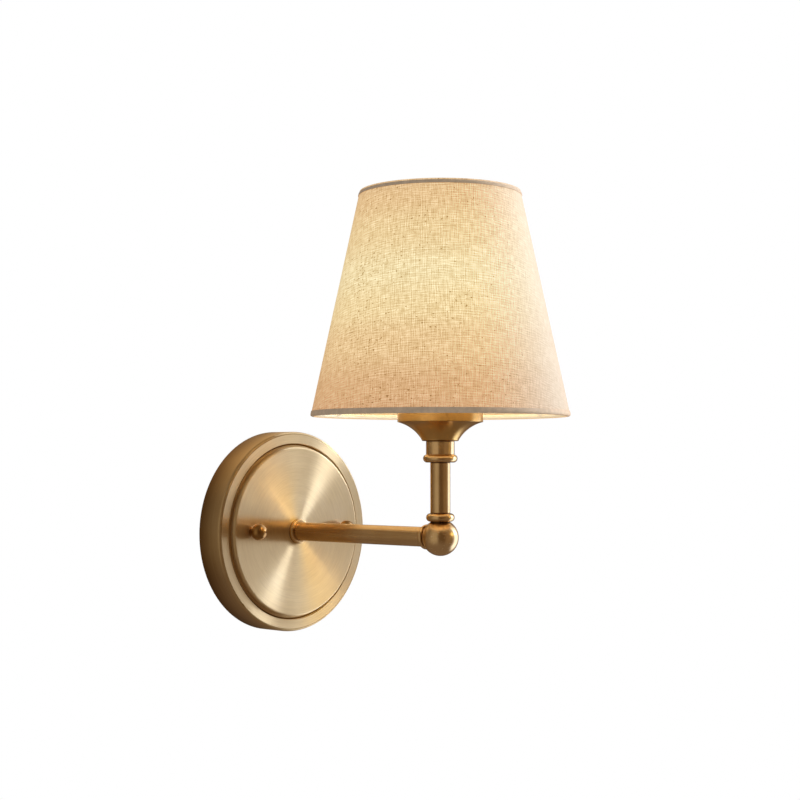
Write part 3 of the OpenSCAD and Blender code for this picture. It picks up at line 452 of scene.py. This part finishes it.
def cover():
    """The linen round the shade: one strip cut as a sector, lapped at the seam."""
    z0 = max(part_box("shade_fabric")[0].z, SHADE_Z0 + 1.1 * MM)
    z1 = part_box("shade_fabric")[1].z + HEM_H - TOP_HEM_H
    points, uvs, faces = [], [], []
    lap_turn = LAP / cone_r((z0 + z1) / 2)
    for side in (0, 1):
        for i in range(AROUND + 1):
            turn = (2 * math.pi + lap_turn) * i / AROUND
            past = turn - 2 * math.pi + 0.02
            lift = CLOTH_T * 1.05 * min(1, max(0, past / 0.03))
            for j in range(UP + 1):
                z = z0 + (z1 - z0) * j / UP
                t = SEAM + turn
                wave = noise.noise(Vector((math.cos(t) * 2.1, math.sin(t) * 2.1, z * 14)))
                inside = math.sin(math.pi * j / UP)
                r = cone_r(z, CLOTH_OUT + side * CLOTH_T) + lift + WAVE * wave * inside
                points.append((AXIS.x + r * math.cos(t), AXIS.y + r * math.sin(t), z))
                slant = cone_r(z) * WALL / SLOPE
                angle = (turn - math.pi) * PATTERN
                uvs.append((slant * math.sin(angle), -slant * math.cos(angle)))
    row, sheet = UP + 1, (AROUND + 1) * (UP + 1)
    for i in range(AROUND):
        for j in range(UP):
            a, b = i * row + j, (i + 1) * row + j
            faces.append((a, b, b + 1, a + 1))
            faces.append((sheet + a, sheet + a + 1, sheet + b + 1, sheet + b))
        for j, flip in ((0, 0), (UP, 1)):
            a, b = i * row + j, (i + 1) * row + j
            rim = (a, sheet + a, sheet + b, b)
            faces.append(rim[::-1] if flip else rim)
    for i, flip in ((0, 0), (AROUND, 1)):
        for j in range(UP):
            a = i * row + j
            end = (a, a + 1, sheet + a + 1, sheet + a)
            faces.append(end[::-1] if flip else end)
    return build("linen_cover", points, faces, uvs=uvs)


WARP, WEFT = 1.3 * MM, 1.4 * MM  # spacing of the threads


def linen():
    """Slub linen with a painted glow for the bulb's light through it: brightest beside the bulb,
    tan towards the lower rim.
    """
    made, g = material("linen")
    u, v, _ = g.split(g.node("UVMap", uv_map="cut"))
    place = g.vector("SUBTRACT", g.node("TexCoord", out=3), tuple(AXIS))
    x, y, height = g.split(place)

    def marks(along, across, seed, detail=2.0, roughness=0.55):
        return g.noise(g.join(g.math("MULTIPLY", u, along), g.math("MULTIPLY", v, across), seed),
                       1.0, detail, roughness)

    # the plain weave: two crossing sets of uneven threads
    wobble = g.math("MULTIPLY", marks(110, 110, 0.0), 2.0 * MM)
    warp = g.math("ABSOLUTE", g.math("SINE", g.math(
        "MULTIPLY", g.math("ADD", u, wobble), math.pi / WARP)))
    weft = g.math("ABSOLUTE", g.math("SINE", g.math(
        "MULTIPLY", g.math("ADD", v, wobble), math.pi / WEFT)))
    picks, ends = marks(170, 1250, 3.0, 0.0), marks(1250, 140, 9.0, 0.0)
    mottle, blot = marks(1700, 1700, 15.0, 0.0), marks(60, 60, 21.0, 1.0)
    slubs_u, slubs_v = marks(60, 950, 27.0, 1.0), marks(950, 90, 33.0, 1.0)
    speck = g.math("MULTIPLY_ADD", marks(30, 30, 51.0, 1.0), 0.25, marks(640, 780, 39.0, 0.0))
    uneven = g.remap(marks(210, 190, 45.0, 1.0), 0.32, 0.68, 0.06, 0.30)
    grey = g.math("MULTIPLY_ADD", g.math("SUBTRACT", g.math("ADD", warp, weft), 1.27), uneven, 1.0)
    for part, low, high in ((picks, 0.88, 1.11), (ends, 0.87, 1.11), (mottle, 0.90, 1.09),
                            (blot, 0.99, 1.01)):
        grey = g.math("MULTIPLY", grey, g.remap(part, 0.32, 0.68, low, high))
    # 1 on the side that faces the soft box, -1 on the far side
    side = g.math("DIVIDE",
                  g.math("ADD", g.math("MULTIPLY", x, KEY.x), g.math("MULTIPLY", y, KEY.y)),
                  cone_r(0.5 * (SHADE_Z0 + SHADE_Z1)))
    for part in (slubs_u, slubs_v):
        grey = g.math("MULTIPLY", grey, g.remap(part, 0.66, 0.78, 1.0, 0.80))
    # the weave's specks and contrast fade on the side facing the soft box: painted washout from
    # its light
    speck = g.math("MULTIPLY_ADD", side, -0.045, speck)
    grey = g.math("MULTIPLY", grey, g.remap(speck, 0.885, 0.965, 1.0, 0.42))
    hidden = g.remap(side, -0.2, 0.95, 1.0, 0.15, smooth=True)
    grey = g.math("ADD", 1.0, g.math("MULTIPLY", g.math("SUBTRACT", grey, 1.0),
                                     g.remap(hidden, 0.15, 1.0, 0.35, 1.0)))
    tone = g.node("CombineColor", g.math("POWER", grey, 0.75), grey, g.math("POWER", grey, 1.45))

    # painted glow for the light passing the cloth, by height and weaker at the lapped seam; less
    # of it shows on the side that the key light floods
    level = g.remap(height, SHADE_Z0, SHADE_Z1)
    glow_colour = g.ramp(level, [
        (0.0, (0.44, 0.200, 0.055)), (0.10, (0.47, 0.235, 0.065)), (0.30, (0.58, 0.375, 0.145)),
        (0.46, (0.64, 0.485, 0.215)), (0.60, (0.66, 0.54, 0.27)), (0.78, (0.61, 0.44, 0.185)),
        (0.94, (0.56, 0.350, 0.130)), (1.0, (0.50, 0.300, 0.110))], "EASE")
    angle = g.math("ABSOLUTE", g.math("ARCTAN2", u, g.math("MULTIPLY", v, -1.0)))
    lap = g.math("GREATER_THAN", angle, math.pi * PATTERN - LAP_TURN * PATTERN)
    strength = g.math("MULTIPLY", hidden, g.remap(lap, 0.0, 1.0, 1.0, 0.62))
    cloth = g.mix(1.0, g.mix(blot, (0.60, 0.50, 0.385), (0.64, 0.54, 0.42)), tone, "MULTIPLY")
    relief = g.math("ADD", g.math("MULTIPLY", g.math("MAXIMUM", warp, weft), 0.6),
                    g.math("ADD", g.math("ADD", picks, ends), mottle))
    shader = g.node("BsdfPrincipled", named={
        "Base Color": cloth, "Roughness": 0.92, "Specular IOR Level": 0.2,
        "Sheen Weight": 0.35, "Sheen Roughness": 0.35, "Sheen Tint": srgb("FFC896"),
        "Normal": g.bump(relief, 0.1 * MM, 0.5),
        "Emission Color": g.mix(1.0, glow_colour, tone, "MULTIPLY"),
        "Emission Strength": strength})
    g.finish(shader)
    return made


fabric = cover()
fabric.data.materials.append(linen())
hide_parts("shade_fabric")


# Bindings
RIB, PICK = 0.7 * MM, 0.5 * MM  # spacing of the tape's ribs and threads
MEAN_R = 75 * MM  # radius at which the ribs are counted


def binding(name, edge_z, way, height):
    """A woven tape folded over the shade's edge; way is +1 at the lower edge, -1 at the upper."""
    tape = 0.42 * MM
    bend = 1.5 * MM
    outline = [(0.0, height), (0.06 * MM, height + 0.12 * MM),
               (tape - 0.08 * MM, height + 0.1 * MM),
               (tape, height - 0.06 * MM), (tape, bend + 0.1 * MM),
               (2.1 * tape, 1.25 * tape), (1.7 * MM, tape), (2.3 * MM, tape),
               (2.42 * MM, 0.3 * MM),
               (2.4 * MM, 0.1 * MM), (2.2 * MM, 0.0), (1.7 * MM, -0.01 * MM)]
    for i in range(7):
        a = math.radians(90 * i / 6)
        outline.append((bend * (1 - math.sin(a)), bend * (1 - math.cos(a))))
    outline = [(cone_r(edge_z + way * up, depth), edge_z + way * up) for depth, up in outline]
    if way > 0:
        outline.reverse()
    return lathe(name, outline)


def tape_cloth():
    """Taupe tape; the fold inside the shade has a painted glow for the bulb's light."""
    made, g = material("binding")
    place = g.vector("SUBTRACT", g.node("TexCoord", out=3), tuple(AXIS))
    x, y, z = g.split(place)
    r = g.math("SQRT", g.math("ADD", g.math("MULTIPLY", x, x), g.math("MULTIPLY", y, y)))
    round_it = g.math("MULTIPLY", g.math("ARCTAN2", y, x), MEAN_R)
    rib = g.math("ABSOLUTE", g.math("SINE", g.math("MULTIPLY", round_it, math.pi / RIB)))
    pick = g.math("ABSOLUTE", g.math("SINE", g.math("MULTIPLY", z, math.pi / PICK)))
    blot = g.noise(place, 300, 3.0, 0.6)
    grey = g.math("MULTIPLY", g.remap(g.math("ADD", rib, pick), 0.2, 1.8, 0.93, 1.04),
                  g.remap(blot, 0.3, 0.7, 0.88, 1.1))
    colour = g.mix(1.0, (0.72, 0.54, 0.38), g.node("CombineColor", grey, grey, grey), "MULTIPLY")
    cone = g.remap(z, SHADE_Z0, SHADE_Z1, SHADE_R0, cone_r(SHADE_Z1))
    # painted glow on the fold inside the shade
    inside = g.math("GREATER_THAN", g.math("SUBTRACT", cone, r), 2.0 * MM)
    shader = g.node("BsdfPrincipled", named={
        "Base Color": colour, "Roughness": 0.85, "Specular IOR Level": 0.2,
        "Sheen Weight": 0.5, "Sheen Roughness": 0.3, "Sheen Tint": srgb("FFC896"),
        "Normal": g.bump(g.math("ADD", rib, pick), 0.08 * MM, 0.4),
        "Emission Color": (1.0, 0.72, 0.40), "Emission Strength": g.math("MULTIPLY", inside, 0.5)})
    g.finish(shader)
    return made


hems = [binding("binding_bottom", SHADE_Z0, 1, HEM_H),
        binding("binding_top", SHADE_Z1, -1, TOP_HEM_H)]
tape_material = tape_cloth()
for piece, node in zip(hems, ("hem_bottom", "hem_top")):
    piece.data.materials.append(tape_material)
    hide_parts(node)


# Light and surroundings
def world():
    """White where the camera looks past the lamp. What the lamp mirrors is a dim warm room with
    a tall soft box on the right, its bright core and a small warm lamp beside it."""
    made = bpy.data.worlds.new("studio")
    bpy.context.scene.world = made
    g = Graph(made)
    x, y, z = g.split(g.node("TexCoord", out=0))
    azimuth = g.math("MULTIPLY", g.math("ARCTAN2", y, x), DEGREES)
    level = g.math("MULTIPLY", g.math("ARCSINE", z), DEGREES)
    tan, dark = (0.46, 0.40, 0.31), (0.13, 0.08, 0.04)
    warm, deep, brown = (0.25, 0.17, 0.10), (0.12, 0.08, 0.05), (0.25, 0.19, 0.13)
    stops = [(-180, tan), (-162, tan), (-149, dark), (-112, dark), (-98, warm), (-50, warm),
             (10, warm), (45, deep), (95, deep), (139, brown), (168, tan), (180, tan)]
    band = g.ramp(g.remap(azimuth, -180, 180), [((a + 180) / 360, c) for a, c in stops], "EASE")
    band = g.mix(g.remap(level, 20, 70, smooth=True), band, (0.26, 0.20, 0.14))
    # the pale wall behind and above, lit by the lamp itself
    lit_wall = g.math("MULTIPLY",
                      g.math("MULTIPLY", g.remap(azimuth, 20, 40, smooth=True),
                             g.remap(azimuth, 124, 100, smooth=True)),
                      g.math("MULTIPLY", g.remap(level, 12, 28, smooth=True),
                             g.remap(level, 72, 58, smooth=True)))
    band = g.mix(lit_wall, band, (0.90, 0.66, 0.38))
    band = g.mix(g.remap(level, -12, -50, smooth=True), band, (0.21, 0.155, 0.11))
    box = g.math("MULTIPLY", g.remap(azimuth, -46, -34, smooth=True),
                 g.remap(azimuth, 8, -4, smooth=True))
    box = g.math("MULTIPLY", box, g.math("MULTIPLY", g.remap(level, -50, -36, smooth=True),
                                         g.remap(level, 64, 54, smooth=True)))
    # matt pieces take an even grey fill instead of the room
    soft = g.mix(g.node("LightPath", out=2), band, (0.42, 0.42, 0.42))
    soft = g.mix(box, soft, (1.80, 1.98, 2.28))
    core = g.vector("DOT_PRODUCT", g.join(x, y, z), CREAM_LAMP, out=1)
    soft = g.mix(g.remap(core, 0.992, 0.998, smooth=True), soft, (24.0, 26.5, 31.0))
    gold = g.vector("DOT_PRODUCT", g.join(x, y, z), GOLD_LAMP, out=1)
    soft = g.mix(g.remap(gold, 0.983, 0.995, smooth=True), soft, (2.8, 2.1, 0.7))
    lit = g.node("Background", soft, 1.0)
    plain_white = g.node("Background", (1.0, 1.0, 1.0), 1.0)
    end = g.tree.nodes.new("ShaderNodeOutputWorld")
    g.put(end.inputs[0], g.node("MixShader", g.node("LightPath", out=0), lit, plain_white))


world()

# The same soft box again, for matt pieces alone
KEY_W, KEY_H, KEY_AWAY, KEY_WATTS = 0.8, 1.1, 1.6, 27.0
data = bpy.data.lights.new("key", "AREA")
data.shape, data.size, data.size_y = "RECTANGLE", KEY_W, KEY_H
data.energy, data.color = KEY_WATTS, (0.93, 1.0, 1.12)
key = bpy.data.objects.new("key", data)
bpy.context.scene.collection.objects.link(key)
way = Vector((KEY.x, KEY.y, 0.25)).normalized()
key.location = Vector((0, -0.1, 0.08)) + way * KEY_AWAY
key.rotation_mode = "QUATERNION"
key.rotation_quaternion = way.to_track_quat("Z", "Y")
key.visible_glossy = False

# The studio's floor, far below
FLOOR_R, FLOOR_Z, FLOOR_SIDES = 3.0, -1.0, 96
floor_mesh = bpy.data.meshes.new("floor")
floor_mesh.from_pydata(
    [(FLOOR_R * math.cos(t), FLOOR_R * math.sin(t), FLOOR_Z)
     for t in (i * 2 * math.pi / FLOOR_SIDES for i in range(FLOOR_SIDES))],
    [], [tuple(range(FLOOR_SIDES))])
floor = bpy.data.objects.new("floor", floor_mesh)
bpy.context.scene.collection.objects.link(floor)
made, g = material("floor")
g.finish(g.node("BsdfPrincipled", named={
    "Base Color": (0.8, 0.8, 0.8), "Roughness": 0.9, "Emission Color": (1.0, 0.995, 0.985),
    "Emission Strength": 0.62}))
floor_mesh.materials.append(made)
floor.visible_glossy = floor.visible_diffuse = False

bpy.context.scene.view_settings.view_transform = "Standard"
